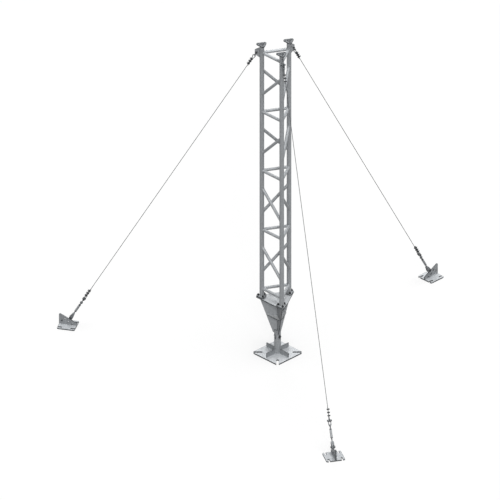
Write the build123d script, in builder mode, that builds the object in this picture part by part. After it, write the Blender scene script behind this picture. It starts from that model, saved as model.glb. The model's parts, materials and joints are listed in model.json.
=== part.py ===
"""Guyed three-leg lattice radio mast on a hinged foot. Millimetres, +Z up.

The origin is the centre of the foot plate's underside, which lies on the ground with the
undersides of the three guy anchors. The hinge bolt runs along X.
"""

import os
from math import cos, radians, sin, sqrt

from build123d import *

# Mast section
leg_angles = {"left": 210, "right": 330, "back": 90}
face_width = 290  # leg axis to leg axis
section_base = 650  # height of the joint between the cone and the section
section_length = 3000
leg_od = 48.3
leg_wall = 3.2
leg_recess = 2  # tube end below the outer face of its flange, for the weld
bays = 4
ring_inset = 100  # first and last ring of bars, from the ends of the section
brace_od = 32
brace_wall = 2.5
brace_inset = 200  # end of a diagonal, from the nearest ring

# Three-lobed leg flanges
flange_thick = 12
flange_pcd = 78
flange_lobe = 20
flange_hole = 14
flange_turn = 90  # direction of the first bolt from the axis of its leg

# Foot
foot_side = 370
foot_thick = 15
foot_slot_width = 26
foot_slot_reach = 155  # inner end of a slot, from the centre
pipe_od = 70
pipe_wall = 10
gusset_reach = 160
gusset_high = 50
gusset_thick = 10

# Hinge
hinge_height = 208
hinge_bolt = 20
hinge_clearance = 0.5  # between the bolt and its holes, all round
ear_rise = 28  # top of the pipe, above the bolt
ear_root = 26  # bottom of the slot between the ears, below the bolt
ear_flat = 29  # flat milled on each ear for the bolt's head and nut, from the centre
tongue_thick = 20
tongue_wide = 54
tongue_drop = 22  # below the bolt
tongue_round = 18
tongue_gap = 2  # each side, between the tongue and the ears
head_across = 30
head_thick = 10

# Cone of a boss, three fins and two plates
boss_od = 70
boss_high = 43
boss_gap = 4  # between the pipe and the boss
fin_thick = 10
fin_overlap = 35  # height over which the fins hold the boss
fin_foot_reach = 47
fin_top_reach = 191
mid_plate_top = 459
mid_plate_inradius = 72
mid_plate_corner = 103
cone_plate_thick = 12
top_plate_inradius = 125

# Lugs on the legs
lug_thick = 12
lug_root_high = 115  # at the leg's surface
lug_nose_high = 55
lug_reach = 75  # from the leg's axis
lug_hole_inset = 19.5  # from the nose

# Ground anchors
anchor_centre = 2240
anchor_length = 190  # along the guy's direction
anchor_width = 200
anchor_thick = 12
anchor_corner = 18
anchor_slot_width = 16
anchor_slot_length = 48
anchor_slot_inset = 30  # from the side of the plate
anchor_fin_thick = 12
anchor_fin_high = 131
anchor_fin_land = 15  # level top at the outer end
anchor_fin_corner = 10
anchor_fin_low = 41  # at the inner end
anchor_ear = 17  # radius of the ear round the hole of the turnbuckle's pin
anchor_ear_root = 50  # depth of the ear's straight sides, from the hole
anchor_hole_height = 101.3
anchor_hole_inset = 62  # from the plate's inner edge
spare_holes = ((159, 57, 18), (126, 77, 14), (92, 48, 18), (50, 26, 14))  # inset, height, diameter

# Shackles
shackle_rod = 9
shackle_inside = 15  # between the legs
shackle_length = 48  # pin axis to the inside of the bow
shackle_pin = 12
shackle_ear = 24
shackle_ear_thick = 10
shackle_cap = 20  # head and nut of the pin
shackle_cap_thick = 7
shackle_clearance = 0.5

# Guy wires with an eye at each end
wire_od = 6
eye_bore = 20
eye_outer = 36
eye_thick = 8
eye_neck = 42  # centre of the eye to the place where both strands meet
eye_neck_margin = 1  # around both strands at the neck
link_slack = 2  # where a ring or an eye hangs on a pin or a bow
tail_end = 142  # end of the doubled strand, from the centre of the eye

# Turnbuckles: distances along the guy, from the pin in the anchor fin
fork_radius = 20
fork_neck_radius = 12
fork_neck = 49
fork_throat = 22
fork_cheek = 8
fork_gap = 1  # each side, between a cheek and the anchor fin
fork_pin = 16
fork_pin_clearance = 0.5
fork_head = 24
fork_head_thick = 9
screw_od = 12
body_start = 100
body_end = 183
body_od = 24
body_port = 8  # hole that shows the ends of the screws
lock_across = 22
lock_thick = 8
screw_shown = 16  # between the lock nut and the ring
screw_cover = 2  # of the ring, between the end of the screw and the bore
ring_outer = 30
ring_bore = 15
ring_thick = 10

# Derived places
leg_radius = face_width / sqrt(3)
section_top = section_base + section_length
flange_tip = flange_pcd / 2 + flange_lobe
top_ring = section_top - ring_inset
bay_high = (section_length - 2 * ring_inset) / bays
rings = [section_base + ring_inset + i * bay_high for i in range(bays + 1)]
pipe_top = hinge_height + ear_rise
boss_base = pipe_top + boss_gap
boss_cap = boss_base + boss_high
fin_foot = boss_cap - fin_overlap
fin_top = section_base - cone_plate_thick
anchor_inner = anchor_centre - anchor_length / 2
anchor_outer = anchor_centre + anchor_length / 2
guy_top = Vector(leg_radius + lug_reach - lug_hole_inset, top_ring)
guy_foot = Vector(anchor_inner + anchor_hole_inset, anchor_hole_height)
guy_run = (guy_top - guy_foot).length
upper_eye = shackle_length + eye_bore / 2 - link_slack  # from the pin in the lug
ring_centre = body_end + lock_thick + screw_shown + ring_outer / 2
screw_end = ring_centre - ring_bore / 2 - screw_cover
lower_pin = ring_centre + ring_bore / 2 - link_slack + shackle_length
lower_eye = lower_pin + eye_bore / 2 - shackle_pin / 2 - link_slack


def save(part, name):
    part.label = name
    export_step(part, f"parts/{name}.step")


def polar(radius, angle, height=0):
    return Vector(radius * cos(radians(angle)), radius * sin(radians(angle)), height)


def radial_plane(angle):
    """Sketch plane with x outward from the mast axis and y upward."""
    return Plane(origin=(0, 0, 0), x_dir=polar(1, angle), z_dir=polar(1, angle - 90))


def sector(angle, bottom, top):
    """The third of the mast within 60 degrees of a direction, to cut neighbours apart."""
    reach = 2 * leg_radius
    with BuildPart() as third:
        with BuildSketch(Plane.XY.offset(bottom)):
            with BuildLine():
                corners = [polar(0, 0)] + [polar(reach, angle + turn) for turn in (-60, 0, 60)]
                Polyline(*corners, close=True)
            make_face()
        extrude(amount=top - bottom)
    return third.part


def corner_plate(top, inradius, corner):
    """A triangular plate whose corners, towards the legs, are cut square."""
    with BuildPart() as plate:
        with BuildSketch(Plane.XY.offset(top - cone_plate_thick)):
            RegularPolygon(inradius, 3, major_radius=False, rotation=leg_angles["back"])
            with PolarLocations(corner + 2 * inradius, 3, start_angle=leg_angles["back"]):
                Rectangle(4 * inradius, 4 * inradius, mode=Mode.SUBTRACT)
        extrude(amount=cone_plate_thick)
    return plate.part


def cylinder(plane, radius, start, end):
    """A cylinder along the plane's normal."""
    with BuildPart() as rod:
        with BuildSketch(plane.offset(start)):
            Circle(radius)
        extrude(amount=end - start)
    return rod.part


def build_shackle():
    """A bow shackle: pin along Y at the origin, bow towards +X."""
    leg = (shackle_inside + shackle_rod) / 2
    ear = leg + shackle_ear_thick / 2
    cap = ear + shackle_cap_thick
    straight = shackle_length - shackle_inside / 2
    with BuildPart() as made:
        for y in (-leg, leg):
            add(cylinder(Plane(origin=(0, y, 0), z_dir=(1, 0, 0)), shackle_rod / 2, 0, straight))
        with BuildSketch(Plane(origin=(straight, leg, 0), z_dir=(1, 0, 0))):
            Circle(shackle_rod / 2)
        revolve(axis=Axis((straight, 0, 0), (0, 0, -1)), revolution_arc=180)
        add(cylinder(Plane.XZ, shackle_ear / 2, -ear, shackle_ear_thick - ear))
        add(cylinder(Plane.XZ, shackle_ear / 2, ear - shackle_ear_thick, ear))
        add(cylinder(Plane.XZ, shackle_pin / 2, -ear, ear))
        add(cylinder(Plane.XZ, shackle_cap / 2, -cap, -ear))
        add(cylinder(Plane.XZ, shackle_cap / 2, ear, cap))
    return made.part.solid()


os.makedirs("parts", exist_ok=True)

# ---------------------------------------------------------------- foot
with BuildPart() as foot_plate:
    with BuildSketch():
        Rectangle(foot_side, foot_side)
        slot_run = foot_side / sqrt(2) - foot_slot_reach
        slot_start = foot_slot_reach + foot_slot_width / 2
        with PolarLocations(slot_start, 4, start_angle=45):
            Circle(foot_slot_width / 2, mode=Mode.SUBTRACT)
        with PolarLocations(slot_start + slot_run / 2, 4, start_angle=45):
            Rectangle(slot_run, foot_slot_width, mode=Mode.SUBTRACT)
    extrude(amount=foot_thick)
save(foot_plate.part, "foot_plate")

with BuildPart() as foot_pipe:
    with BuildSketch(Plane.XY.offset(foot_thick)):
        Circle(pipe_od / 2)
        Circle(pipe_od / 2 - pipe_wall, mode=Mode.SUBTRACT)
    extrude(amount=pipe_top - foot_thick)
    # the ears: a slot for the tongue, and a flat on each for the bolt's head and nut
    with BuildSketch(Plane.XY.offset(hinge_height - ear_root)):
        Rectangle(tongue_thick + 2 * tongue_gap, 2 * pipe_od)
        Rectangle(2 * pipe_od, 2 * pipe_od)
        Rectangle(2 * ear_flat, 2 * pipe_od, mode=Mode.SUBTRACT)
        Rectangle(tongue_thick + 2 * tongue_gap, 2 * pipe_od)
    extrude(amount=ear_root + ear_rise, mode=Mode.SUBTRACT)
    with BuildSketch(Plane.YZ.offset(-pipe_od)):
        with Locations((0, hinge_height)):
            Circle(hinge_bolt / 2 + hinge_clearance)
    extrude(amount=2 * pipe_od, mode=Mode.SUBTRACT)
save(foot_pipe.part, "foot_pipe")

with BuildPart() as foot_gussets:
    with BuildSketch(Plane.XY.offset(foot_thick)):
        Rectangle(2 * gusset_reach, gusset_thick)
        Rectangle(gusset_thick, 2 * gusset_reach)
        Circle(pipe_od / 2, mode=Mode.SUBTRACT)
    extrude(amount=gusset_high)
save(foot_gussets.part, "foot_gussets")

# ---------------------------------------------------------------- hinge
with BuildPart() as hinge_tongue:
    tongue_low = hinge_height - tongue_drop
    tongue_high = boss_base - tongue_low
    with BuildSketch(Plane.YZ.offset(-tongue_thick / 2)):
        with Locations((0, tongue_low + tongue_high / 2)):
            Rectangle(tongue_wide, tongue_high)
        with Locations((0, hinge_height)):
            Circle(hinge_bolt / 2 + hinge_clearance, mode=Mode.SUBTRACT)
    extrude(amount=tongue_thick)
    foot_edges = hinge_tongue.edges().filter_by(Axis.X).group_by(Axis.Z)[0]
    fillet(foot_edges, radius=tongue_round)
save(hinge_tongue.part, "hinge_tongue")

with BuildPart() as hinge_bolt_part:
    with BuildSketch(Plane.YZ.offset(-ear_flat)):
        with Locations((0, hinge_height)):
            Circle(hinge_bolt / 2)
    extrude(amount=2 * ear_flat)
    for start in (-ear_flat - head_thick, ear_flat):
        with BuildSketch(Plane.YZ.offset(start)):
            with Locations((0, hinge_height)):
                RegularPolygon(head_across / 2, 6, major_radius=False)
        extrude(amount=head_thick)
save(hinge_bolt_part.part, "hinge_bolt")

# ---------------------------------------------------------------- cone
with BuildPart() as cone_boss:
    with BuildSketch(Plane.XY.offset(boss_base)):
        Circle(boss_od / 2)
    extrude(amount=boss_high)
save(cone_boss.part, "cone_boss")

fins = {}
for side, angle in leg_angles.items():
    with BuildPart() as fin:
        with BuildSketch(radial_plane(angle)):
            with BuildLine():
                Polyline(
                    (0, fin_foot),
                    (fin_foot_reach, fin_foot),
                    (fin_top_reach, fin_top),
                    (0, fin_top),
                    close=True,
                )
            make_face()
        extrude(amount=fin_thick / 2, both=True)
        add(sector(angle, fin_foot, fin_top), mode=Mode.INTERSECT)
        add(cone_boss.part, mode=Mode.SUBTRACT)
    fins[side] = fin.part
    save(fin.part, f"cone_fin_{side}")

with BuildPart() as mid_plate:
    add(corner_plate(mid_plate_top, mid_plate_inradius, mid_plate_corner))
    for fin_part in fins.values():
        add(fin_part, mode=Mode.SUBTRACT)
save(mid_plate.part, "cone_mid_plate")

with BuildPart() as top_plate:
    add(corner_plate(section_base, top_plate_inradius, leg_radius + flange_tip))
    with BuildSketch(Plane.XY.offset(section_base - cone_plate_thick)):
        for angle in leg_angles.values():
            with Locations(polar(leg_radius, angle)):
                with PolarLocations(flange_pcd / 2, 3, start_angle=flange_turn):
                    Circle(flange_hole / 2)
    extrude(amount=cone_plate_thick, mode=Mode.SUBTRACT)
save(top_plate.part, "cone_top_plate")

# ---------------------------------------------------------------- section
for side, angle in leg_angles.items():
    centre = polar(leg_radius, angle)
    with BuildPart() as leg:
        with BuildSketch(Plane.XY.offset(section_base + leg_recess)):
            with Locations(centre):
                Circle(leg_od / 2)
                Circle(leg_od / 2 - leg_wall, mode=Mode.SUBTRACT)
        extrude(amount=section_length - 2 * leg_recess)
    save(leg.part, f"leg_{side}")
    for level, name in ((section_base, "base"), (section_top - flange_thick, "top")):
        with BuildPart() as flange:
            with BuildSketch(Plane.XY.offset(level)):
                with Locations(centre):
                    with PolarLocations(flange_pcd / 2, 3, start_angle=flange_turn):
                        Circle(flange_lobe)
                make_hull()
                with Locations(centre):
                    Circle(leg_od / 2, mode=Mode.SUBTRACT)
                    with PolarLocations(flange_pcd / 2, 3, start_angle=flange_turn):
                        Circle(flange_hole / 2, mode=Mode.SUBTRACT)
            extrude(amount=flange_thick)
        save(flange.part, f"leg_{side}_{name}_flange")

with BuildPart() as leg_envelopes:
    with BuildSketch(Plane.XY.offset(section_base)):
        with PolarLocations(leg_radius, 3, start_angle=leg_angles["back"]):
            Circle(leg_od / 2)
    extrude(amount=section_length)

for first, second in (("left", "back"), ("back", "right"), ("right", "left")):
    a = polar(leg_radius, leg_angles[first])
    b = polar(leg_radius, leg_angles[second])
    runs = [(a + Vector(0, 0, z), b + Vector(0, 0, z)) for z in rings]
    for i in range(bays):
        low = Vector(0, 0, rings[i] + brace_inset)
        high = Vector(0, 0, rings[i + 1] - brace_inset)
        runs.append((b + high, a + low) if i < bays / 2 else (a + high, b + low))
    with BuildPart() as face:
        for start, end in runs:
            with BuildSketch(Plane(origin=start, z_dir=end - start)):
                Circle(brace_od / 2)
                Circle(brace_od / 2 - brace_wall, mode=Mode.SUBTRACT)
            extrude(amount=(end - start).length)
        add(leg_envelopes.part, mode=Mode.SUBTRACT)
        # the bars of two faces are mitred where they meet on a leg
        add(sector(leg_angles[first] - 60, section_base, section_top), mode=Mode.INTERSECT)
    save(face.part, f"bracing_{first}_{second}")

# ---------------------------------------------------------------- guys
shackle = build_shackle()

for side, angle in leg_angles.items():
    plane = radial_plane(angle)
    across = plane.z_dir
    top_pin = plane.from_local_coords(guy_top)
    foot_pin = plane.from_local_coords(guy_foot)
    up = (top_pin - foot_pin).normalized()

    with BuildPart() as lug:
        with BuildSketch(plane):
            nose = leg_radius + lug_reach
            surface = leg_radius + leg_od / 2
            taper = (lug_root_high - lug_nose_high) / (nose - surface)
            root_half = (lug_root_high + taper * leg_od / 2) / 2
            with BuildLine():
                Polyline(
                    (leg_radius, top_ring - root_half),
                    (nose, top_ring - lug_nose_high / 2),
                    (nose, top_ring + lug_nose_high / 2),
                    (leg_radius, top_ring + root_half),
                    close=True,
                )
            make_face()
            with Locations(guy_top):
                Circle(shackle_pin / 2 + shackle_clearance, mode=Mode.SUBTRACT)
        extrude(amount=lug_thick / 2, both=True)
        add(leg_envelopes.part, mode=Mode.SUBTRACT)
    save(lug.part, f"guy_lug_{side}")

    with BuildPart() as anchor_plate:
        centre = polar(anchor_centre, angle)
        with BuildSketch(Plane(origin=centre, x_dir=polar(1, angle), z_dir=(0, 0, 1))):
            RectangleRounded(anchor_length, anchor_width, anchor_corner)
            slot_x = (anchor_length + anchor_slot_width) / 2 - anchor_slot_length
            slot_y = anchor_width / 2 - anchor_slot_inset
            with GridLocations(2 * slot_x, 2 * slot_y, 2, 2):
                Circle(anchor_slot_width / 2, mode=Mode.SUBTRACT)
            with GridLocations(2 * slot_x + anchor_slot_length, 2 * slot_y, 2, 2):
                Rectangle(anchor_slot_length, anchor_slot_width, mode=Mode.SUBTRACT)
        extrude(amount=anchor_thick)
    save(anchor_plate.part, f"anchor_plate_{side}")

    with BuildPart() as anchor_fin:
        with BuildSketch(plane):
            down = (guy_foot - guy_top).normalized()
            with Locations(guy_foot, guy_foot + down * anchor_ear_root):
                Circle(anchor_ear)
            make_hull()
        extrude(amount=anchor_fin_thick / 2, both=True)
        with BuildSketch(plane) as fin_side:
            with BuildLine():
                Polyline(
                    (anchor_inner, anchor_thick),
                    (anchor_outer, anchor_thick),
                    (anchor_outer, anchor_fin_high),
                    (anchor_outer - anchor_fin_land, anchor_fin_high),
                    (anchor_inner, anchor_fin_low),
                    close=True,
                )
            make_face()
            peak = fin_side.vertices().group_by(Axis.Y)[-1].sort_by(Axis.X)[-1]
            fillet(peak, radius=anchor_fin_corner)
        extrude(amount=anchor_fin_thick / 2, both=True)
        with BuildSketch(plane):
            with Locations(guy_foot):
                Circle(fork_pin / 2 + fork_pin_clearance)
            for inset, high, bore in spare_holes:
                with Locations((anchor_inner + inset, high)):
                    Circle(bore / 2)
        extrude(amount=anchor_fin_thick, both=True, mode=Mode.SUBTRACT)
    save(anchor_fin.part, f"anchor_fin_{side}")

    # the turnbuckle, from the fork on the anchor fin to the ring
    flat = Plane(origin=foot_pin, x_dir=up, z_dir=across)
    axis = Plane(origin=foot_pin, z_dir=up)
    with BuildPart() as turnbuckle:
        cheek = anchor_fin_thick / 2 + fork_gap + fork_cheek
        with BuildSketch(flat):
            Circle(fork_radius)
            with Locations((fork_neck, 0)):
                Circle(fork_neck_radius)
            make_hull()
        extrude(amount=cheek, both=True)
        with BuildSketch(flat):
            with Locations((fork_throat - fork_neck, 0)):
                Rectangle(2 * fork_neck, 4 * fork_radius)
        extrude(amount=cheek - fork_cheek, both=True, mode=Mode.SUBTRACT)
        add(cylinder(flat, fork_pin / 2, -cheek, cheek))
        add(cylinder(flat, fork_head / 2, -cheek - fork_head_thick, -cheek))
        add(cylinder(flat, fork_head / 2, cheek, cheek + fork_head_thick))
        add(cylinder(axis, screw_od / 2, fork_neck, screw_end))
        add(cylinder(axis, body_od / 2, body_start, body_end))
        port = Plane(origin=foot_pin + up * (body_start + body_end) / 2, z_dir=up.cross(across))
        add(cylinder(port, body_port / 2, -body_od, body_od), mode=Mode.SUBTRACT)
        for start in (body_start - lock_thick, body_end):
            with BuildSketch(axis.offset(start)):
                RegularPolygon(lock_across / 2, 6, major_radius=False)
            extrude(amount=lock_thick)
        with BuildSketch(flat):
            with Locations((ring_centre, 0)):
                Circle(ring_outer / 2)
        extrude(amount=ring_thick / 2, both=True)
        with BuildSketch(flat):
            with Locations((ring_centre, 0)):
                Circle(ring_bore / 2)
        extrude(amount=ring_thick, both=True, mode=Mode.SUBTRACT)
    save(turnbuckle.part, f"turnbuckle_{side}")

    hung = []
    for pin in (foot_pin + up * lower_pin, top_pin):
        hang = Plane(origin=pin, x_dir=-up, z_dir=across.cross(up))
        hung.append(shackle.moved(hang.location))
    save(Compound(hung), f"guy_shackles_{side}")

    # an eye at each end of the wire, with the tail doubled back on its inner side
    with BuildPart() as eyes:
        for centre, away in ((foot_pin + up * lower_eye, up), (top_pin - up * upper_eye, -up)):
            loop = Plane(origin=centre, x_dir=away, z_dir=across)
            inner = loop.y_dir.dot(polar(1, angle)) < 0
            tail = wire_od / 2 if inner else -wire_od / 2
            with BuildSketch(loop):
                Circle(eye_outer / 2)
                with Locations((eye_neck, tail)):
                    Circle(wire_od + eye_neck_margin)
                make_hull()
                Circle(eye_bore / 2, mode=Mode.SUBTRACT)
            extrude(amount=eye_thick / 2, both=True)
            pair = Plane(origin=centre, x_dir=loop.y_dir, z_dir=away)
            with BuildSketch(pair.offset(eye_neck)):
                with Locations((tail, 0)):
                    SlotOverall(2 * wire_od, wire_od)
            extrude(amount=tail_end - eye_neck)
    save(eyes.part, f"guy_eyes_{side}")

    wire = cylinder(axis, wire_od / 2, lower_eye + tail_end, guy_run - upper_eye - tail_end)
    save(wire, f"guy_wire_{side}")
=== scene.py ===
import json
import math

import bmesh
import bpy
from mathutils import Matrix, Vector


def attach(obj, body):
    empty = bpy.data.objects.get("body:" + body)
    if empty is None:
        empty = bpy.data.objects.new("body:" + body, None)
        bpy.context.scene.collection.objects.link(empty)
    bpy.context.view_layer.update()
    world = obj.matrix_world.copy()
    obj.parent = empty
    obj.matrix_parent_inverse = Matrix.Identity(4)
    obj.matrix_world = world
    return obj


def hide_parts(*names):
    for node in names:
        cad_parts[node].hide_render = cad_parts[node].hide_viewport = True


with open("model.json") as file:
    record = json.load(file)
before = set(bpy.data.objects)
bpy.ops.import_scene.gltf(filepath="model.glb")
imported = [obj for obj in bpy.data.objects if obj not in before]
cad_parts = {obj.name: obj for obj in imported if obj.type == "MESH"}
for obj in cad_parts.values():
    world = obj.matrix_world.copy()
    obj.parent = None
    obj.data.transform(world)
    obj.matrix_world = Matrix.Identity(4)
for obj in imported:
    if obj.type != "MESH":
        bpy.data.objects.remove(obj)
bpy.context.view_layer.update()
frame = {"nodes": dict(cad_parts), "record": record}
scene = bpy.context.scene
perMetre = 1000.0
mm = 1 / perMetre
slotOf = {row["node"]: row["material_slot"] for row in frame["record"]["subparts"]}
print("stage: frame loaded,", len(frame["nodes"]), "nodes")


# the mast, in millimetres, as far as the pieces added here follow it
mast = {
    "sides": {"left": 210.0, "right": 330.0, "back": 90.0},  # degrees round to each leg and its guy
    "legRadius": 290 / math.sqrt(3),  # which puts the legs 290 apart
    "legOd": 48.3,
    "base": 650.0, "top": 3650.0,     # the lattice section's lower and upper end
    "flangeThick": 12.0,
    "flangePcd": 78.0,
    "flangeHoles": (90, 210, 330),
}
legOuter = mast["legOd"] / 2


def polar(radius, angle, z=0.0):
    a = math.radians(angle)
    return Vector((radius * math.cos(a), radius * math.sin(a), z))


def upright(z):
    return Vector((0, 0, z))


def legAt(side):
    return polar(mast["legRadius"], mast["sides"][side])


def nodesNamed(start="", end=""):
    return [name for name in frame["nodes"] if name.startswith(start) and name.endswith(end)]


# a parallel view, an eighth of a turn round from the front and from above
cameraSetup = {
    "azimuth": 45.0,
    "elevation": 29.7,
    "viewWidth": 5162.5,     # millimetres of the object from one side of the view to the other
    "aimAcross": -284.3505,  # the middle of the view lies to the left of the mast's foot
    "aimUp": 1066.5725,      # and above it
    "distance": 20.0,        # metres, as is the next
    "seesTo": 100.0,
}


def makeCamera(setup):
    az, el = math.radians(setup["azimuth"]), math.radians(setup["elevation"])
    right = Vector((math.cos(az), math.sin(az), 0))
    away = Vector((-math.sin(az), math.cos(az), 0))
    look = away * math.cos(el) - upright(1) * math.sin(el)
    up = away * math.sin(el) + upright(1) * math.cos(el)
    aim = right * setup["aimAcross"] * mm + up * setup["aimUp"] * mm
    data = bpy.data.cameras.new("camera")
    data.type = "ORTHO"
    data.ortho_scale = setup["viewWidth"] * mm
    data.clip_end = setup["seesTo"]
    camera = bpy.data.objects.new("camera", data)
    camera.location = aim - look * setup["distance"]
    camera.rotation_euler = look.to_track_quat("-Z", "Y").to_euler()
    scene.collection.objects.link(camera)
    scene.camera = camera


makeCamera(cameraSetup)
scene.view_settings.view_transform = "Standard"
print("stage: camera")


# material tools
def linear(hexColour):
    # the linear colour of an sRGB hex value, with full alpha
    parts = [int(hexColour[i:i + 2], 16) / 255 for i in (1, 3, 5)]
    return tuple(p / 12.92 if p <= 0.04045 else ((p + 0.055) / 1.055) ** 2.4 for p in parts) + (1.0,)


def addNode(tree, kind, settings=None, links=None):
    node = tree.nodes.new(kind)
    for name, value in (settings or {}).items():
        if isinstance(name, str) and hasattr(node, name):
            setattr(node, name, value)
        else:
            node.inputs[name].default_value = value
    for name, (source, output) in (links or {}).items():
        tree.links.new(source.outputs[output], node.inputs[name])
    return node


def newMaterial(name):
    material = bpy.data.materials.new(name)
    material.use_nodes = True
    tree = material.node_tree
    tree.nodes.clear()
    return material, tree


# hot-dip galvanised steel: dipped in molten zinc after welding, then dulled by weather,
# which gives a cool grey with a faint patchwork of spangle and soft upright runs
zinc = {
    "dark": "#929598", "mid": "#9ea1a4", "light": "#abaeb0",
    "darkAt": 0.15, "midAt": 0.5, "lightAt": 0.85,
    "spangleMm": 9.0,        # across one crystal of zinc
    "runMm": 60.0,           # across one run
    "runSquash": 0.18,       # draws a run out to five or six times its width
    "runShare": 0.62,        # how far the runs set the tone, and not the spangle
    "grainMm": 1.6,          # drawn coarser than the real skin of the zinc, which wouldn't show
    "runDepthMm": 1.2, "runBump": 0.3,
    "grainDepthMm": 0.4, "grainBump": 0.25,
    "metallic": 0.15,        # a skin of zinc carbonate is hardly metallic
    "roughness": 0.55,
    "roughnessSpread": 0.09,
}


def galvanisedSteel(name, look):
    material, tree = newMaterial(name)
    coords = addNode(tree, "ShaderNodeTexCoord")
    spangle = addNode(tree, "ShaderNodeTexVoronoi", {"Scale": perMetre / look["spangleMm"]},
                      {"Vector": (coords, "Object")})
    drawnOut = addNode(tree, "ShaderNodeMapping", {"Scale": (1, 1, look["runSquash"])},
                       {"Vector": (coords, "Object")})
    runs = addNode(tree, "ShaderNodeTexNoise",
                   {"Scale": perMetre / look["runMm"], "Detail": 5.0, "Roughness": 0.6},
                   {"Vector": (drawnOut, "Vector")})
    grain = addNode(tree, "ShaderNodeTexNoise", {"Scale": perMetre / look["grainMm"], "Detail": 3.0},
                    {"Vector": (coords, "Object")})
    crystal = addNode(tree, "ShaderNodeSeparateColor", links={"Color": (spangle, "Color")})
    tone = addNode(tree, "ShaderNodeMix", {"data_type": "FLOAT", "Factor": look["runShare"]},
                   {"A": (crystal, "Red"), "B": (runs, "Fac")})
    colour = addNode(tree, "ShaderNodeValToRGB", links={"Fac": (tone, "Result")})
    stops = colour.color_ramp.elements
    stops.new(look["midAt"])
    for stop, step in zip(stops, ("dark", "mid", "light")):
        stop.position = look[step + "At"]
        stop.color = linear(look[step])
    rough = addNode(tree, "ShaderNodeMapRange",
                    {"To Min": look["roughness"] - look["roughnessSpread"],
                     "To Max": look["roughness"] + look["roughnessSpread"]},
                    {"Value": (crystal, "Green")})
    skin = addNode(tree, "ShaderNodeBump",
                   {"Strength": look["grainBump"], "Distance": look["grainDepthMm"] * mm},
                   {"Height": (grain, "Fac")})
    waves = addNode(tree, "ShaderNodeBump",
                    {"Strength": look["runBump"], "Distance": look["runDepthMm"] * mm},
                    {"Height": (runs, "Fac"), "Normal": (skin, "Normal")})
    shader = addNode(tree, "ShaderNodeBsdfPrincipled", {"Metallic": look["metallic"]},
                     {"Base Color": (colour, "Color"), "Roughness": (rough, "Result"),
                      "Normal": (waves, "Normal")})
    addNode(tree, "ShaderNodeOutputMaterial", links={"Surface": (shader, "BSDF")})
    return material


galvanised = galvanisedSteel("hotDipGalvanisedSteel", zinc)

# painted light: the wide plates of the foot and the cone take a brighter zinc than the tubes, which lifts
# the shade that the mast and the cone cast on them
plateLightLook = dict(zinc, dark="#9fa2a5", mid="#abaeb1", light="#b8bbbd")
plateLightZinc = galvanisedSteel("brightPlateZinc", plateLightLook)

# painted shade along the plates' edges: the cut faces, and a narrow band beside them, take a darker and
# rougher zinc
cutShadeLook = dict(zinc, dark="#3d4043", mid="#484b4e", light="#55585b", spangleMm=3.0, runMm=12.0,
               grainMm=1.0, metallic=0.1, roughness=0.7)
cutShadeZinc = galvanisedSteel("plasmaCutEdgeZinc", cutShadeLook)

# painted light: under the top plate, the mid plate takes a near-white zinc, which lifts the shade the top
# plate casts on it
midPlateLightLook = dict(zinc, dark="#d8dadb", mid="#e1e3e4", light="#eaebec", metallic=0.2, roughness=0.45)
midPlateLightZinc = galvanisedSteel("shelteredBrightZinc", midPlateLightLook)

# a darker, duller zinc: painted shade on the right cone fin, the foot gussets and the front anchor plate;
# the anchor fins, the base flanges and the turnbuckles' bodies take it too
darkZincAndPaintedShadeLook = dict(zinc, dark="#85888b", mid="#919497", light="#9ea1a3", metallic=0.12)
weatheredZinc = galvanisedSteel("weatheredZinc", darkZincAndPaintedShadeLook)
# painted shade, darker still, along the cut edges of the anchors and flanges and in the flanges' bores
paintedEdgeShadeLook = dict(cutShadeLook, dark="#34373a", mid="#3f4245", light="#4b4e51")
paintedEdgeShade = galvanisedSteel("weatheredEdgeZinc", paintedEdgeShadeLook)

# the top flanges take a flat dark grey zinc
flangeLook = dict(zinc, dark="#505356", mid="#5c5f62", light="#6c6f72", spangleMm=6.0, metallic=0.12)
flangeZinc = galvanisedSteel("dullFlangeZinc", flangeLook)

# the turnbuckles' forks are handled whenever a guy is set, which keeps them a little lighter
forkLook = dict(flangeLook, dark="#63666a", mid="#6f7275", light="#7e8184")
forkZinc = galvanisedSteel("handledForkZinc", forkLook)

# screws, shackles and thimbles: zinc-plated steel, most of it drop forged, which is darker and
# a little smoother than dipped zinc
forgedLook = dict(zinc, dark="#595c5f", mid="#66696c", light="#76797c", spangleMm=2.0, runMm=14.0,
                  grainMm=0.8, metallic=0.35, roughness=0.5)
forged = galvanisedSteel("forgedZincPlatedSteel", forgedLook)

# wire clips, lock nuts, pin heads and the hinge bolt: their thin zinc has dulled to a dark grey
boltLook = dict(zinc, dark="#1f2225", mid="#292c2f", light="#373a3d", spangleMm=1.5, runMm=8.0,
                grainMm=0.6)
boltSteel = galvanisedSteel("dulledZincBoltSteel", boltLook)

# splice bolts: high-tensile steel with a black oxide skin, which stays matt and almost black
blackLook = dict(boltLook, dark="#0b0d0f", mid="#121417", light="#1b1e21", metallic=0.05, roughness=0.75)
blackBolt = galvanisedSteel("blackOxideBoltSteel", blackLook)

# guy strand: wires galvanised before they were laid up, dark with grease and dust in the lay
strandLook = dict(zinc, dark="#303336", mid="#3a3d40", light="#484b4e", spangleMm=1.5, runMm=22.0,
                  grainMm=0.5, metallic=0.25)
strand = galvanisedSteel("galvanisedWireStrand", strandLook)

materialOfSlot = {"galvanised_steel": galvanised, "forged_fittings": forged, "steel_strand": strand}
for name, slot in slotOf.items():
    node = frame["nodes"][name]
    if not node.material_slots:
        node.data.materials.append(materialOfSlot[slot])
    for place in node.material_slots:
        place.material = materialOfSlot[slot]
print("stage: materials")


# mesh tools: a part is a list of points and a list of faces, and a piece joins its parts in one mesh
def placePiece(name, mesh, stands):
    piece = bpy.data.objects.new(name, mesh)
    scene.collection.objects.link(piece)
    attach(piece, "root")
    if stands:
        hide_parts(*stands)


def shade(mesh, smoothBelow):
    mesh.shade_smooth()
    mesh.set_sharp_from_angle(angle=math.radians(smoothBelow))


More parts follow.
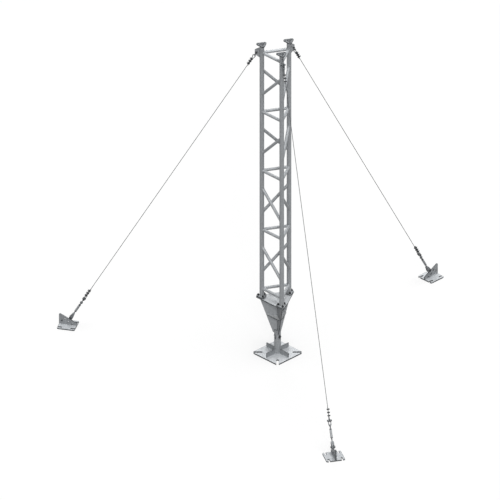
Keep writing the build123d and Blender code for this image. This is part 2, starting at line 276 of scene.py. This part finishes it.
def makePiece(name, parts, material, stands=(), smoothBelow=35.0):
    verts, faces = [], []
    for points, polygons in parts:
        start = len(verts)
        verts.extend(points)
        faces.extend([tuple(i + start for i in polygon) for polygon in polygons])
    mesh = bpy.data.meshes.new(name)
    mesh.from_pydata([tuple(v) for v in verts], [], faces)
    bm = bmesh.new()
    bm.from_mesh(mesh)
    bmesh.ops.recalc_face_normals(bm, faces=bm.faces)
    bm.to_mesh(mesh)
    bm.free()
    shade(mesh, smoothBelow)
    mesh.materials.append(material)
    placePiece(name, mesh, stands)


def moved(part, matrix):
    points, polygons = part
    return [matrix @ Vector(p) for p in points], polygons


def stretched(verts, around, closed=False):
    # stretches faces from each ring of points to the next, and caps both ends of an open run
    rings = len(verts) // around
    faces = []
    for i in range(rings if closed else rings - 1):
        k = (i + 1) % rings
        for j in range(around):
            m = (j + 1) % around
            faces.append((i * around + j, i * around + m, k * around + m, k * around + j))
    if not closed:
        faces.append(tuple(range(around - 1, -1, -1)))
        faces.append(tuple((rings - 1) * around + j for j in range(around)))
    return verts, faces


def arcOf(radius, degrees):
    return [(radius * math.cos(math.radians(a)), radius * math.sin(math.radians(a))) for a in degrees]


def ringOf(radius, count):
    return arcOf(radius, [360 * i / count for i in range(count)])


def sweep(path, profile, closed=False, across=None, twist=0.0, swell=None):
    # carries a flat outline along a path without letting it roll, apart from the twist asked for
    path = [Vector(p) for p in path]
    count = len(path)
    tangents = []
    for i in range(count):
        before = path[i - 1] if (i or closed) else path[0]
        after = path[(i + 1) % count] if (i < count - 1 or closed) else path[-1]
        tangents.append((after - before).normalized())
    side = Vector(across) if across else tangents[0].orthogonal()
    side = (side - tangents[0] * side.dot(tangents[0])).normalized()
    verts, along = [], 0.0
    for i in range(count):
        if i:
            along += (path[i] - path[i - 1]).length
            side = (side - tangents[i] * side.dot(tangents[i])).normalized()
        other = tangents[i].cross(side)
        c, s = math.cos(twist * along), math.sin(twist * along)
        size = swell(along) if swell else 1.0
        for a, b in profile:
            u, v = (a * c - b * s) * size, (a * s + b * c) * size
            verts.append(path[i] + side * u + other * v)
    return stretched(verts, len(profile), closed)


def lathe(outline, sides=32):
    # turns pairs of height and radius round Z
    verts = [Vector((x, y, height)) for height, radius in outline for x, y in ringOf(radius, sides)]
    return stretched(verts, sides)


def hexagon(across, height, chamfer, sides=24):
    # a nut or bolt head on Z, with its corners turned off at both ends
    toFlat, toCorner = across / 2, across / math.sqrt(3)
    toEnd = toFlat * 0.97    # the end faces are round, and a little narrower than the flats
    flatSpan = math.pi / 3
    verts = []
    for z, limit in ((0, toEnd), (chamfer, toCorner), (height - chamfer, toCorner), (height, toEnd)):
        for i in range(sides):
            a = 2 * math.pi * i / sides
            fromMiddle = (a + flatSpan / 2) % flatSpan - flatSpan / 2
            r = min(toFlat / math.cos(fromMiddle), limit)
            verts.append(Vector((r * math.cos(a), r * math.sin(a), z)))
    return stretched(verts, sides)


def screwThread(radius, start, end, pitch, sides=16):
    # rings that fall and rise once for each turn of the thread
    depths, threadDepth = (0.0, 0.5, 1.0, 0.5), 0.32 * pitch
    steps = max(2, round((end - start) / pitch * len(depths)))
    outline = [(start + (end - start) * i / steps, radius - depths[i % len(depths)] * threadDepth)
               for i in range(steps + 1)]
    return lathe(outline, sides)


# a guy's own frame, in millimetres: x up the guy from the pin in the anchor, y outward, z across
guy = {
    "topPin": (mast["legRadius"] + 55.5, 3550.0),  # from the mast's axis, and height
    "footPin": (2207.0, 101.3),
    "lowerEye": 277.5,       # middle of the lower eye, from the pin in the anchor
    "upperEye": 56.0,        # middle of the upper eye, from the pin in the lug
    "rope": 6.0,
    "wires": 6,              # round a core
    "wireCorners": (-30, -19, 0, 19),  # points of a wire's outline, in degrees from its crown
    "lay": 42.0,             # length in which a wire goes once round
    "eyeTail": ((52, -6.0), (40, -6.8), (26, -10.6), (12, -13.8)),  # the tail comes to the eye
    "loop": 15.0,            # radius of the eye, to the middle of the wire
    "loopAngles": range(-80, -281, -20),
    "eyeLive": ((12, 12.4), (26, 7.0), (40, 1.6), (52, 0)),  # and the live side leaves it
    "eyeSteps": 4,           # from one of these points to the next
    "step": 4.0,             # along the straight wire
    "tailEnd": 142.0,        # from the middle of the eye, as are the clips
    "clips": (50.0, 83.0, 116.5),
}


def guyMatrix(angle):
    # from the guy's own frame to the mast's, in metres, and the length from pin to pin
    pin = polar(guy["footPin"][0], angle, guy["footPin"][1])
    head = polar(guy["topPin"][0], angle, guy["topPin"][1])
    x = (head - pin).normalized()
    z = polar(1, angle + 90)
    y = z.cross(x)
    if y.dot(polar(1, angle)) < 0:
        y, z = -y, -z
    turn = Matrix((x, y, z)).transposed().to_4x4()
    return Matrix.Translation(pin * mm) @ turn @ Matrix.Scale(mm, 4), (head - pin).length


# plates are plasma cut and then dipped: their edges are a little rounded. The cut faces, with a narrow band
# beside them, take a darker and rougher zinc than the rolled faces, as painted shade along the edges
cutting = {
    "plateRound": 0.8,
    "fittingRound": 0.6,
    "band": 2.2,
    "finBand": 2.6,
    "wideBand": 3.6,         # under half the metal between a flange's bore and its bolt holes
    "sharperThan": 28.0,     # degrees across an edge that is rounded
    "flatWithin": 0.97,      # cosine of the angle to the rolled face
    "oneFaceBelow": 0.6,     # degrees between facets of one face
    "samePoint": 1e-6,
}


def islands(bm):
    # the separate solids of a mesh, as lists of faces
    left, found = set(bm.faces), []
    while left:
        group, queue = [], [left.pop()]
        while queue:
            face = queue.pop()
            group.append(face)
            for edge in face.edges:
                for other in edge.link_faces:
                    if other in left:
                        left.remove(other)
                        queue.append(other)
        found.append(group)
    return found


def markCutShadeFaces(bm, width):
    # a plate's two rolled faces are its largest: the rest were cut, and they and a band round the rolled
    # faces take the painted shade
    rolled = []
    for group in islands(bm):
        thick = max(group, key=lambda f: f.calc_area()).normal.copy()
        for face in group:
            flat = abs(face.normal.dot(thick)) > cutting["flatWithin"]
            face.material_index = 0 if flat else 1
            if flat:
                rolled.append(face)
    band = bmesh.ops.inset_region(bm, faces=rolled, thickness=width * mm, use_even_offset=True,
                                  use_boundary=True)
    for face in band["faces"]:
        face.material_index = 1


def soften(nodes, width, stem, finish=None, cutShadeFinish=None, band=0.0, zones=None):
    # a copy of each node with rounded edges stands for it: finish is for its rolled faces, the next finish,
    # a painted shade, for the cut faces and a band beside them, and zones picks one of four finishes for
    # each face
    for name in nodes:
        mesh = frame["nodes"][name].data.copy()
        bm = bmesh.new()
        bm.from_mesh(mesh)
        bmesh.ops.remove_doubles(bm, verts=bm.verts, dist=cutting["samePoint"])
        bmesh.ops.dissolve_limit(bm, angle_limit=math.radians(cutting["oneFaceBelow"]), verts=bm.verts,
                                 edges=bm.edges)
        if finish:
            mesh.materials[0] = finish
        if cutShadeFinish:
            mesh.materials.append(cutShadeFinish)
            markCutShadeFaces(bm, band)
        if zones:
            place, run = guyMatrix(mast["sides"][name.split("_")[-1]])
            local = place.inverted()
            for other in (boltSteel, weatheredZinc, forkZinc):
                mesh.materials.append(other)
            for face in bm.faces:
                face.material_index = zones(local @ face.calc_center_median(), run)
        sharp = [edge for edge in bm.edges if len(edge.link_faces) == 2
                 and edge.calc_face_angle(0.0) > math.radians(cutting["sharperThan"])]
        bmesh.ops.bevel(bm, geom=sharp, offset=width * mm, segments=2, profile=0.5, affect="EDGES",
                        clamp_overlap=True)
        bm.to_mesh(mesh)
        bm.free()
        shade(mesh, cutting["sharperThan"])
        placePiece(stem + name.title().replace("_", ""), mesh, (name,))


# the turnbuckle in the guy's frame: its zones of different zinc, and its threads
turnbuckle = {
    "cheeks": 15.2,          # just past the outer faces of the fork, from the middle
    "pinHead": 12.6,         # just over the radius of the head and the nut of the fork's pin
    "forkEnd": 60.0,
    "body": (100.0, 183.0),
    "lockNut": 8.5,          # just past each lock nut, from its end of the body
    "rod": 12.0,
    "threads": ((60.0, 93.0), (190.0, 207.5)),
    "crest": 0.35,           # thread proud of the plain rod
    "pitch": 2.6,            # drawn coarser than the real pitch of 1.75, which wouldn't show
    "sides": 20,
}


def turnbuckleZones(p, run):
    # 0 forged screws and ring, 1 lock nuts and pin heads, 2 the pipe body, 3 the fork
    start, end = turnbuckle["body"]
    if math.hypot(p.x, p.y) < turnbuckle["pinHead"] and abs(p.z) > turnbuckle["cheeks"]:
        return 1
    if p.x < turnbuckle["forkEnd"]:
        return 3
    if start <= p.x <= end:
        return 2
    return 1 if min(abs(p.x - start), abs(p.x - end)) < turnbuckle["lockNut"] else 0


# the shackles' zones: the lower one's pin is here, and the upper one's is in the lug
shackle = {"lowerPin": 275.5, "pinHead": 10.6, "ears": 17.3}


def shackleZones(p, run):
    # 0 the forged bow, 1 the head and nut of a pin
    alongPin = min(abs(p.x - shackle["lowerPin"]), abs(p.x - run))
    return 1 if math.hypot(alongPin, p.y) < shackle["pinHead"] and abs(p.z) > shackle["ears"] else 0


# nodes, finish of the rolled faces, painted shade of the cut ones, and the band beside them
plates = (
    # painted light on the foot plate, the left and back cone fins and the top plate
    (["foot_plate", "cone_fin_left", "cone_fin_back", "cone_top_plate"], plateLightZinc, cutShadeZinc, "band"),
    (nodesNamed("guy_lug"), galvanised, cutShadeZinc, "band"),
    # painted shade on the foot gussets and the right cone fin
    (["foot_gussets", "cone_fin_right"], weatheredZinc, cutShadeZinc, "band"),
    (nodesNamed(end="base_flange"), weatheredZinc, paintedEdgeShade, "wideBand"),
    (nodesNamed(end="top_flange"), flangeZinc, paintedEdgeShade, "wideBand"),
    (["anchor_plate_left", "anchor_plate_back"], galvanised, paintedEdgeShade, "wideBand"),
    # painted shade on the front anchor plate, beside its fin
    (["anchor_plate_right"], weatheredZinc, paintedEdgeShade, "wideBand"),
    (nodesNamed("anchor_fin"), weatheredZinc, paintedEdgeShade, "finBand"),
    # painted light on the mid plate, in the top plate's shade
    (["cone_mid_plate"], midPlateLightZinc, cutShadeZinc, "band"),
)
for nodes, finish, cutShadeFinish, band in plates:
    soften(nodes, cutting["plateRound"], "plate", finish, cutShadeFinish, cutting[band])
soften(["foot_pipe", "cone_boss"], cutting["plateRound"], "turned")
soften(["hinge_tongue"], cutting["fittingRound"], "fitting")
soften(nodesNamed("turnbuckle"), cutting["fittingRound"], "fitting", zones=turnbuckleZones)
soften(nodesNamed("guy_shackles"), cutting["fittingRound"], "fitting", zones=shackleZones)
soften(["hinge_bolt"], cutting["fittingRound"], "fitting", boltSteel)
print("stage: softened edges")


# welds: beads with rippled faces, galvanised over like the steel beside them
weld = {
    "radius": 3.2,
    "barRadius": 2.6,        # round the bars, and along the plate inside the cone
    "tongueRadius": 2.4,
    "boreRadius": 1.8,
    "step": 1.6,             # along a bead
    "ripple": 4.8,           # from one ripple to the next
    "rippleDepth": 0.13,     # as a share of the radius
    "sides": 8,
    "smoothBelow": 70,
}


def bead(path, closed=False, radius=weld["radius"]):
    def ripples(along):
        return 1 + weld["rippleDepth"] * math.sin(2 * math.pi * along / (weld["ripple"] * mm))
    return sweep(path, ringOf(radius * mm, weld["sides"]), closed, swell=ripples)


def seam(start, end, radius=weld["radius"]):
    # a straight bead between two points in millimetres
    start, end = Vector(start) * mm, Vector(end) * mm
    steps = max(2, round((end - start).length / (weld["step"] * mm)))
    return bead([start.lerp(end, i / steps) for i in range(steps + 1)], radius=radius)


def roundSeam(centre, reach, z, start=0.0, end=360.0, radius=weld["radius"]):
    # a level bead round a point in millimetres, or part of the way
    closed = end - start >= 360
    steps = max(8, round(math.radians(end - start) * reach / weld["step"]))
    last = steps if closed else steps + 1
    path = [(centre + polar(reach, start + (end - start) * i / steps, z)) * mm for i in range(last)]
    return bead(path, closed, radius)


def weldPiece(name, beads, material=galvanised):
    makePiece(name, beads, material, smoothBelow=weld["smoothBelow"])


lattice = {
    "faces": (("left", "back"), ("back", "right"), ("right", "left")),
    "rings": 5,              # of level bars
    "ringInset": 100.0,      # first and last ring, from the ends of the section
    "braceInset": 200.0,     # ends of a diagonal, from the nearest ring
    "turnsOver": 2,          # bays from the base, above which the diagonals slope the other way
    "barOd": 32.0,
    "seamLength": 1.1,       # a seam round the leg is a tenth longer than the bar's own round
}


def bars():
    # both ends of every bar, as (leg, other leg, height at the leg, height at the other)
    first = mast["base"] + lattice["ringInset"]
    bay = (mast["top"] - mast["base"] - 2 * lattice["ringInset"]) / (lattice["rings"] - 1)
    for one, two in lattice["faces"]:
        for i in range(lattice["rings"]):
            z = first + bay * i
            yield one, two, z, z
            if i < lattice["rings"] - 1:
                low, high = z + lattice["braceInset"], z + bay - lattice["braceInset"]
                yield (two, one, high, low) if i < lattice["turnsOver"] else (one, two, high, low)


def barSeam(middle, end, barRadius, centre, legRadius):
    # the line where a round bar runs into the near face of an upright round leg
    direction = (end - middle).normalized()
    u = direction.orthogonal().normalized()  # two ways across the bar
    v = direction.cross(u)
    steps = round(2 * math.pi * barRadius / weld["step"] * lattice["seamLength"])
    points = []
    for i in range(steps):
        a = 2 * math.pi * i / steps
        p = middle + (u * math.cos(a) + v * math.sin(a)) * barRadius - centre
        square = direction.x ** 2 + direction.y ** 2
        single = 2 * (p.x * direction.x + p.y * direction.y)
        rest = p.x ** 2 + p.y ** 2 - legRadius ** 2
        reach = (-single - math.sqrt(max(single ** 2 - 4 * square * rest, 0))) / (2 * square)
        points.append((p + direction * reach + centre) * mm)
    return points


latticeBeads = []
for one, two, zOne, zTwo in bars():
    a, b = legAt(one) + upright(zOne), legAt(two) + upright(zTwo)
    for here, there, side in ((a, b, one), (b, a, two)):
        path = barSeam((here + there) / 2, here, lattice["barOd"] / 2, legAt(side), legOuter)
        latticeBeads.append(bead(path, True, weld["barRadius"]))
weldPiece("latticeWelds", latticeBeads)

# each leg: round both flanges, in the bore of the top one, and down both sides of the lug
lug = {"half": 6.0, "low": 3493.5, "high": 3606.5}  # half its thickness, and its root on the leg
boreInset = 1.6              # of that bead, from the leg's outside and from the flange's top
legBeads, boreBeads = [], []
for side, angle in mast["sides"].items():
    spot = legAt(side)
    legBeads.append(roundSeam(spot, legOuter, mast["base"] + mast["flangeThick"]))
    legBeads.append(roundSeam(spot, legOuter, mast["top"] - mast["flangeThick"]))
    bore = legOuter - boreInset
    boreBeads.append(roundSeam(spot, bore, mast["top"] - boreInset, radius=weld["boreRadius"]))
    out, tangent = polar(1, angle), polar(1, angle + 90)
    for flank in (-1, 1):
        root = spot + out * math.sqrt(legOuter ** 2 - lug["half"] ** 2) + tangent * flank * lug["half"]
        legBeads.append(seam(root + upright(lug["low"]), root + upright(lug["high"])))
weldPiece("legWelds", legBeads)
weldPiece("flangeBoreWelds", boreBeads, paintedEdgeShade)  # painted shade: the bore's bead takes the darkest edge zinc, for the shade in the bore

foot = {
    "top": 15.0,
    "pipeRadius": 35.0,
    "gussetHalf": 5.0,       # half its thickness, as with the fins below
    "gussetReach": 160.0, "gussetTop": 65.0,
}
footBeads = []
for angle in (0, 90, 180, 270):
    out, tangent = polar(1, angle), polar(1, angle + 90)
    face = math.degrees(math.asin(foot["gussetHalf"] / foot["pipeRadius"]))
    footBeads.append(roundSeam(Vector(), foot["pipeRadius"], foot["top"], angle + face, angle + 90 - face))
    low, high = upright(foot["top"]), upright(foot["gussetTop"])
    for flank in (-1, 1):
        aside = tangent * flank * foot["gussetHalf"]
        near = out * math.sqrt(foot["pipeRadius"] ** 2 - foot["gussetHalf"] ** 2) + aside
        far = out * foot["gussetReach"] + aside
        footBeads.append(seam(near + low, far + low))
        footBeads.append(seam(near + low, near + high))
weldPiece("footWelds", footBeads)

cone = {
    "bossRadius": 35.0, "bossBase": 240.0, "bossTop": 283.0,
    "finHalf": 5.0,
    "finFoot": 248.0, "finFootReach": 47.0,  # lower end of a fin, and how far out it is
    "finTop": 638.0, "finTopReach": 191.0,
    "midPlate": (459.0, 447.0),              # top and underside
    "midCorner": 103.0,
    "tongueHalf": 10.0, "tongueReach": 27.0,
}


def finReach(z):
    rise = (z - cone["finFoot"]) / (cone["finTop"] - cone["finFoot"])
    return cone["finFootReach"] + rise * (cone["finTopReach"] - cone["finFootReach"])


coneBeads = []
for angle in mast["sides"].values():
    out, tangent = polar(1, angle), polar(1, angle + 90)
    for flank in (-1, 1):
        aside = tangent * flank * cone["finHalf"]
        onBoss = out * math.sqrt(cone["bossRadius"] ** 2 - cone["finHalf"] ** 2) + aside
        coneBeads.append(seam(onBoss + upright(cone["finFoot"]), onBoss + upright(cone["bossTop"])))
        meeting = out * cone["finHalf"] / math.tan(math.radians(60)) + aside  # with the next fin
        end = out * finReach(cone["finTop"]) + aside
        coneBeads.append(seam(meeting + upright(cone["finTop"]), end + upright(cone["finTop"])))
        for z in cone["midPlate"]:
            end = out * min(finReach(z), cone["midCorner"]) + aside
            coneBeads.append(seam(meeting + upright(z), end + upright(z), weld["barRadius"]))
for x in (-cone["tongueHalf"], cone["tongueHalf"]):
    coneBeads.append(seam((x, -cone["tongueReach"], cone["bossBase"]),
                          (x, cone["tongueReach"], cone["bossBase"]), weld["tongueRadius"]))
weldPiece("coneWelds", coneBeads)

anchor = {"finFrom": 2148.0, "finTo": 2332.0, "finHalf": 6.0, "top": 12.0}
anchorBeads = []
for angle in mast["sides"].values():
    tangent = polar(1, angle + 90)
    for flank in (-1, 1):
        aside = tangent * flank * anchor["finHalf"]
        anchorBeads.append(seam(polar(anchor["finFrom"], angle, anchor["top"]) + aside,
                                polar(anchor["finTo"], angle, anchor["top"]) + aside))
weldPiece("anchorWelds", anchorBeads)
print("stage: welds")


# bolts that join the section to the cone: M12, black, nut upward, with washers under head and nut
splice = {
    "overFlange": 662.0, "underPlate": 638.0,
    "bolt": 12.0, "tail": 8.0,
    "inNut": 4.0,            # the thread is drawn from this far up inside the nut
    "pitch": 2.4,            # drawn coarser than the real pitch of 1.75, which wouldn't show
    "across": 22.0, "head": 8.0, "nut": 10.0, "chamfer": 1.2,
    "washer": 24.0, "washerThick": 3.0, "washerBreak": 0.4,
    "washerBore": 3.0,       # its faces end here, where the bolt hides them
    "turn": 1.02,            # nuts stand a few degrees off square, as a spanner leaves them
}


def washer(z):
    r, broken = splice["washer"] / 2, splice["washerBreak"]
    top = z + splice["washerThick"]
    return lathe([(z, splice["washerBore"]), (z, r - broken), (z + broken, r), (top - broken, r),
                  (top, r - broken), (top, splice["washerBore"])])


def spliceBolt():
    nutBase = splice["overFlange"] + splice["washerThick"]
    nutTop = nutBase + splice["nut"]
    headTop = splice["underPlate"] - splice["washerThick"]
    nut = hexagon(splice["across"], splice["nut"], splice["chamfer"])
    head = hexagon(splice["across"], splice["head"], splice["chamfer"])
    return [
        washer(splice["overFlange"]),
        moved(nut, Matrix.Translation(upright(nutBase))),
        washer(headTop),
        moved(head, Matrix.Translation(upright(headTop - splice["head"]))),
        screwThread(splice["bolt"] / 2, nutBase + splice["inNut"], nutTop + splice["tail"], splice["pitch"]),
    ]


spliceParts = []
for side in mast["sides"]:
    for angle in mast["flangeHoles"]:
        spot = legAt(side) + polar(mast["flangePcd"] / 2, angle)
        turn = Matrix.Rotation(math.radians(angle * splice["turn"]), 4, "Z")
        here = Matrix.Translation(spot * mm) @ turn @ Matrix.Scale(mm, 4)
        spliceParts.extend(moved(part, here) for part in spliceBolt())
makePiece("spliceBolts", spliceParts, blackBolt, smoothBelow=30)
print("stage: splice bolts")


# guys: 6 mm strand turned round a thimble at both ends and held by three clips
def smooth(points, steps):
    # a curve through every point, with the ends repeated
    ends = [points[0]] + list(points) + [points[-1]]
    made = []
    for i in range(1, len(ends) - 2):
        p0, p1, p2, p3 = (Vector(p) for p in ends[i - 1:i + 3])
        for k in range(steps):
            t = k / steps
            made.append(0.5 * (2 * p1 + (p2 - p0) * t + (2 * p0 - 5 * p1 + 4 * p2 - p3) * t * t
                               + (3 * p1 - p0 - 3 * p2 + p3) * t ** 3))
    made.append(Vector(ends[-1]))
    return made


def eyePath():
    # the wire's line round an eye, from the tail to the live side: away from the eye is +x
    points = guy["eyeTail"] + tuple(arcOf(guy["loop"], guy["loopAngles"])) + guy["eyeLive"]
    return smooth([(x, y, 0) for x, y in points], guy["eyeSteps"])


def strandOutline():
    # the wires round the core as one outline: each wire is a third of the rope's width
    wire = guy["rope"] / 6   # its radius
    points = []
    for k in range(guy["wires"]):
        for corner in guy["wireCorners"]:
            off = math.radians(corner)
            reach = 2 * wire * math.cos(off) + math.sqrt(max(wire ** 2 - (2 * wire * math.sin(off)) ** 2, 0))
            a = math.radians(360 / guy["wires"] * k) + off
            points.append((reach * math.cos(a), reach * math.sin(a)))
    return points


def straightRun(start, end):
    steps = max(1, round((end - start).length / guy["step"]))
    return [start.lerp(end, i / steps) for i in range(steps)]


def guyStrand(run):
    lower, upper = guy["lowerEye"], run - guy["upperEye"]
    low = [Vector((lower + p.x, p.y, 0)) for p in eyePath()]
    high = [Vector((upper - p.x, p.y, 0)) for p in reversed(eyePath())]
    lowTail = Vector((lower + guy["tailEnd"], -guy["rope"], 0))
    highTail = Vector((upper - guy["tailEnd"], -guy["rope"], 0))
    path = straightRun(lowTail, low[0]) + low[:-1] + straightRun(low[-1], high[0]) + high
    path += straightRun(high[-1], highTail)[1:] + [highTail]
    return sweep(path, strandOutline(), across=(0, 0, 1), twist=2 * math.pi / guy["lay"])


sheet = {
    "reach": 44.0,           # lines the wire as far as this from the middle of the eye
    "gap": 0.15,             # between the wire and the sheet
    "outside": 1.6,          # from the wire to the outer side of the sheet
    "cupTo": 84, "cupStep": 14,  # degrees round the wire, either way from the inner side
}


def thimble():
    # a channel of pressed sheet that cups the inner side of the wire round the eye
    path = [p for p in eyePath() if p.x < sheet["reach"]]
    inner, outer = guy["rope"] / 2 + sheet["gap"], guy["rope"] / 2 + sheet["outside"]
    around = range(-sheet["cupTo"], sheet["cupTo"] + 1, sheet["cupStep"])
    cup = [(y, x) for x, y in arcOf(outer, around) + arcOf(inner, reversed(around))]
    return sweep(path, cup, across=(0, 0, 1))


clip = {
    "halfLength": 7.0,
    "halfOutline": ((14.5, 2.2), (14.5, 7.0), (13.3, 8.0), (4.8, 8.0), (3.2, 10.0)),  # of the saddle
    "lip": (4.6, 1.2),       # where the groove for the wire opens
    "groove": 3.2, "grooveAngles": range(10, 171, 20),
    "chamfer": 0.8, "chamferTo": (0.0, 4.6),  # the ends draw in towards this point
    "rod": 6.0, "rodSides": 12,
    "legs": 9.0,             # of the U-bolt, either side of the wire
    "bow": 3.0,              # centre of its bend, from the live wire towards the tail
    "bendAngles": range(0, 181, 15),
    "seat": 8.0, "rise": 21.0,  # where the nuts sit, and where the legs end
    "hidden": 1.0,           # how far the plain rod and the thread each reach into the nut
    "nutAcross": 11.5, "nut": 6.0, "nutChamfer": 0.7,
    "pitch": 1.8,            # drawn coarser than the real pitch of 1.0, which wouldn't show
}


def saddle():
    # a forged block across the live wire, with its ends chamfered
    half, (lipX, lipY) = clip["halfOutline"], clip["lip"]
    outline = [(-x, y) for x, y in half] + list(reversed(half)) + [(lipX, lipY)]
    outline += arcOf(clip["groove"], clip["grooveAngles"]) + [(-lipX, lipY)]
    middle = Vector(clip["chamferTo"])
    end, cut = clip["halfLength"], clip["chamfer"]
    verts = []
    for along, inset in ((-end, cut), (cut - end, 0), (end - cut, 0), (end, cut)):
        for corner in outline:
            p = Vector(corner)
            p = p - (p - middle).normalized() * inset
            verts.append(Vector((along, p.y, p.x)))
    return stretched(verts, len(outline))


def wireClip():
    # U-bolt round the tail, saddle on the live wire, and two nuts on the outer side
    legs, rod, nutTop = clip["legs"], clip["rod"] / 2, clip["seat"] + clip["nut"]
    bow = [(0, clip["seat"] + clip["hidden"], legs)]
    bow += [(0, -clip["bow"] - y, x) for x, y in arcOf(legs, clip["bendAngles"])]
    bow += [(0, clip["seat"] + clip["hidden"], -legs)]
    parts = [sweep(bow, ringOf(rod, clip["rodSides"]), across=(1, 0, 0)), saddle()]
    nut = hexagon(clip["nutAcross"], clip["nut"], clip["nutChamfer"])
    thread = screwThread(rod, nutTop - clip["hidden"], clip["rise"], clip["pitch"], clip["rodSides"])
    for z in (-legs, legs):
        stand = Matrix.Translation(upright(z)) @ Matrix.Rotation(-math.pi / 2, 4, "X")
        parts.append(moved(nut, stand @ Matrix.Translation(upright(clip["seat"]))))
        parts.append(moved(thread, stand))
    return parts


onX = Matrix.Rotation(math.pi / 2, 4, "Y")
for side, angle in mast["sides"].items():
    place, run = guyMatrix(angle)
    makePiece("guyStrand" + side.title(), [moved(guyStrand(run), place)], strand,
              ("guy_wire_" + side, "guy_eyes_" + side), smoothBelow=50)
    ends = (place @ Matrix.Translation((guy["lowerEye"], 0, 0)),
            place @ Matrix.Translation((run - guy["upperEye"], 0, 0)) @ Matrix.Scale(-1, 4, (1, 0, 0)))
    makePiece("thimbles" + side.title(), [moved(thimble(), end) for end in ends], forged)
    clips = [moved(part, end @ Matrix.Translation((reach, 0, 0)))
             for end in ends for reach in guy["clips"] for part in wireClip()]
    makePiece("wireClips" + side.title(), clips, boltSteel, smoothBelow=32)
    proud = turnbuckle["rod"] / 2 + turnbuckle["crest"]
    threads = [moved(screwThread(proud, start, end, turnbuckle["pitch"], turnbuckle["sides"]), place @ onX)
               for start, end in turnbuckle["threads"]]
    makePiece("turnbuckleThreads" + side.title(), threads, forged, smoothBelow=40)
print("stage: guys")


# floor, world and lamps: soft suns, so that the light is the same from the foot to the top
studio = {
    "floorHalf": 60.0,            # metres, half of the floor's side
    "floorBounce": "#6a6a6a",     # what the floor throws back up on the steel
    "floorShade": "#7c7c7c",      # how much of the light and shadow on the floor is seen
    "floorGlow": 0.675,           # the rest of the white, so that the lit floor comes to 1
    "skyStrength": 0.17,
    "sunDistance": 12.0,          # only marks where a sun stands, since a sun's light is parallel
    "suns": (
        {"name": "overhead", "azimuth": -10.0, "elevation": 84.0, "strength": 3.7, "spread": 34.0},
        {"name": "key", "azimuth": -40.0, "elevation": 31.0, "strength": 1.25, "spread": 16.0},
        {"name": "backFill", "azimuth": 140.0, "elevation": 30.0, "strength": 0.75, "spread": 30.0},
    ),
}


def seenDirectly(tree):
    # 1 where the camera, a reflection or clear glass looks, 0 where diffuse light is gathered
    path = addNode(tree, "ShaderNodeLightPath")
    seen = addNode(tree, "ShaderNodeMath", {"operation": "MAXIMUM"},
                   {0: (path, "Is Camera Ray"), 1: (path, "Is Glossy Ray")})
    return addNode(tree, "ShaderNodeMath", {"operation": "MAXIMUM"},
                   {0: (seen, "Value"), 1: (path, "Is Transmission Ray")})


def makeFloor():
    mesh = bpy.data.meshes.new("floor")
    r = studio["floorHalf"]
    mesh.from_pydata([(-r, -r, 0), (r, -r, 0), (r, r, 0), (-r, r, 0)], [], [(0, 1, 2, 3)])
    floor = bpy.data.objects.new("floor", mesh)
    scene.collection.objects.link(floor)
    material, tree = newMaterial("paleStudioFloor")
    bounce = addNode(tree, "ShaderNodeBsdfDiffuse", {"Color": linear(studio["floorBounce"])})
    shadowed = addNode(tree, "ShaderNodeBsdfDiffuse", {"Color": linear(studio["floorShade"])})
    glow = addNode(tree, "ShaderNodeEmission", {"Strength": studio["floorGlow"]})
    shown = addNode(tree, "ShaderNodeAddShader", links={0: (shadowed, "BSDF"), 1: (glow, "Emission")})
    finish = addNode(tree, "ShaderNodeMixShader",
                     links={0: (seenDirectly(tree), "Value"), 1: (bounce, "BSDF"),
                            2: (shown, "Shader")})
    addNode(tree, "ShaderNodeOutputMaterial", links={"Surface": (finish, "Shader")})
    mesh.materials.append(material)


def makeSky():
    world = bpy.data.worlds.new("studio")
    world.use_nodes = True
    tree = world.node_tree
    tree.nodes.clear()
    soft = addNode(tree, "ShaderNodeBackground", {"Color": (1, 1, 1, 1), "Strength": studio["skyStrength"]})
    white = addNode(tree, "ShaderNodeBackground", {"Color": (1, 1, 1, 1), "Strength": 1.0})
    sky = addNode(tree, "ShaderNodeMixShader",
                  links={0: (seenDirectly(tree), "Value"), 1: (soft, "Background"),
                         2: (white, "Background")})
    addNode(tree, "ShaderNodeOutputWorld", links={"Surface": (sky, "Shader")})
    scene.world = world


def makeSuns():
    for sun in studio["suns"]:
        data = bpy.data.lights.new(sun["name"], "SUN")
        data.energy = sun["strength"]
        data.angle = math.radians(sun["spread"])
        light = bpy.data.objects.new(sun["name"], data)
        high = math.radians(sun["elevation"])
        towards = polar(math.cos(high), sun["azimuth"], math.sin(high))
        light.location = towards * studio["sunDistance"]
        light.rotation_euler = (-towards).to_track_quat("-Z", "Y").to_euler()
        scene.collection.objects.link(light)


makeFloor()
makeSky()
makeSuns()
print("stage: studio")
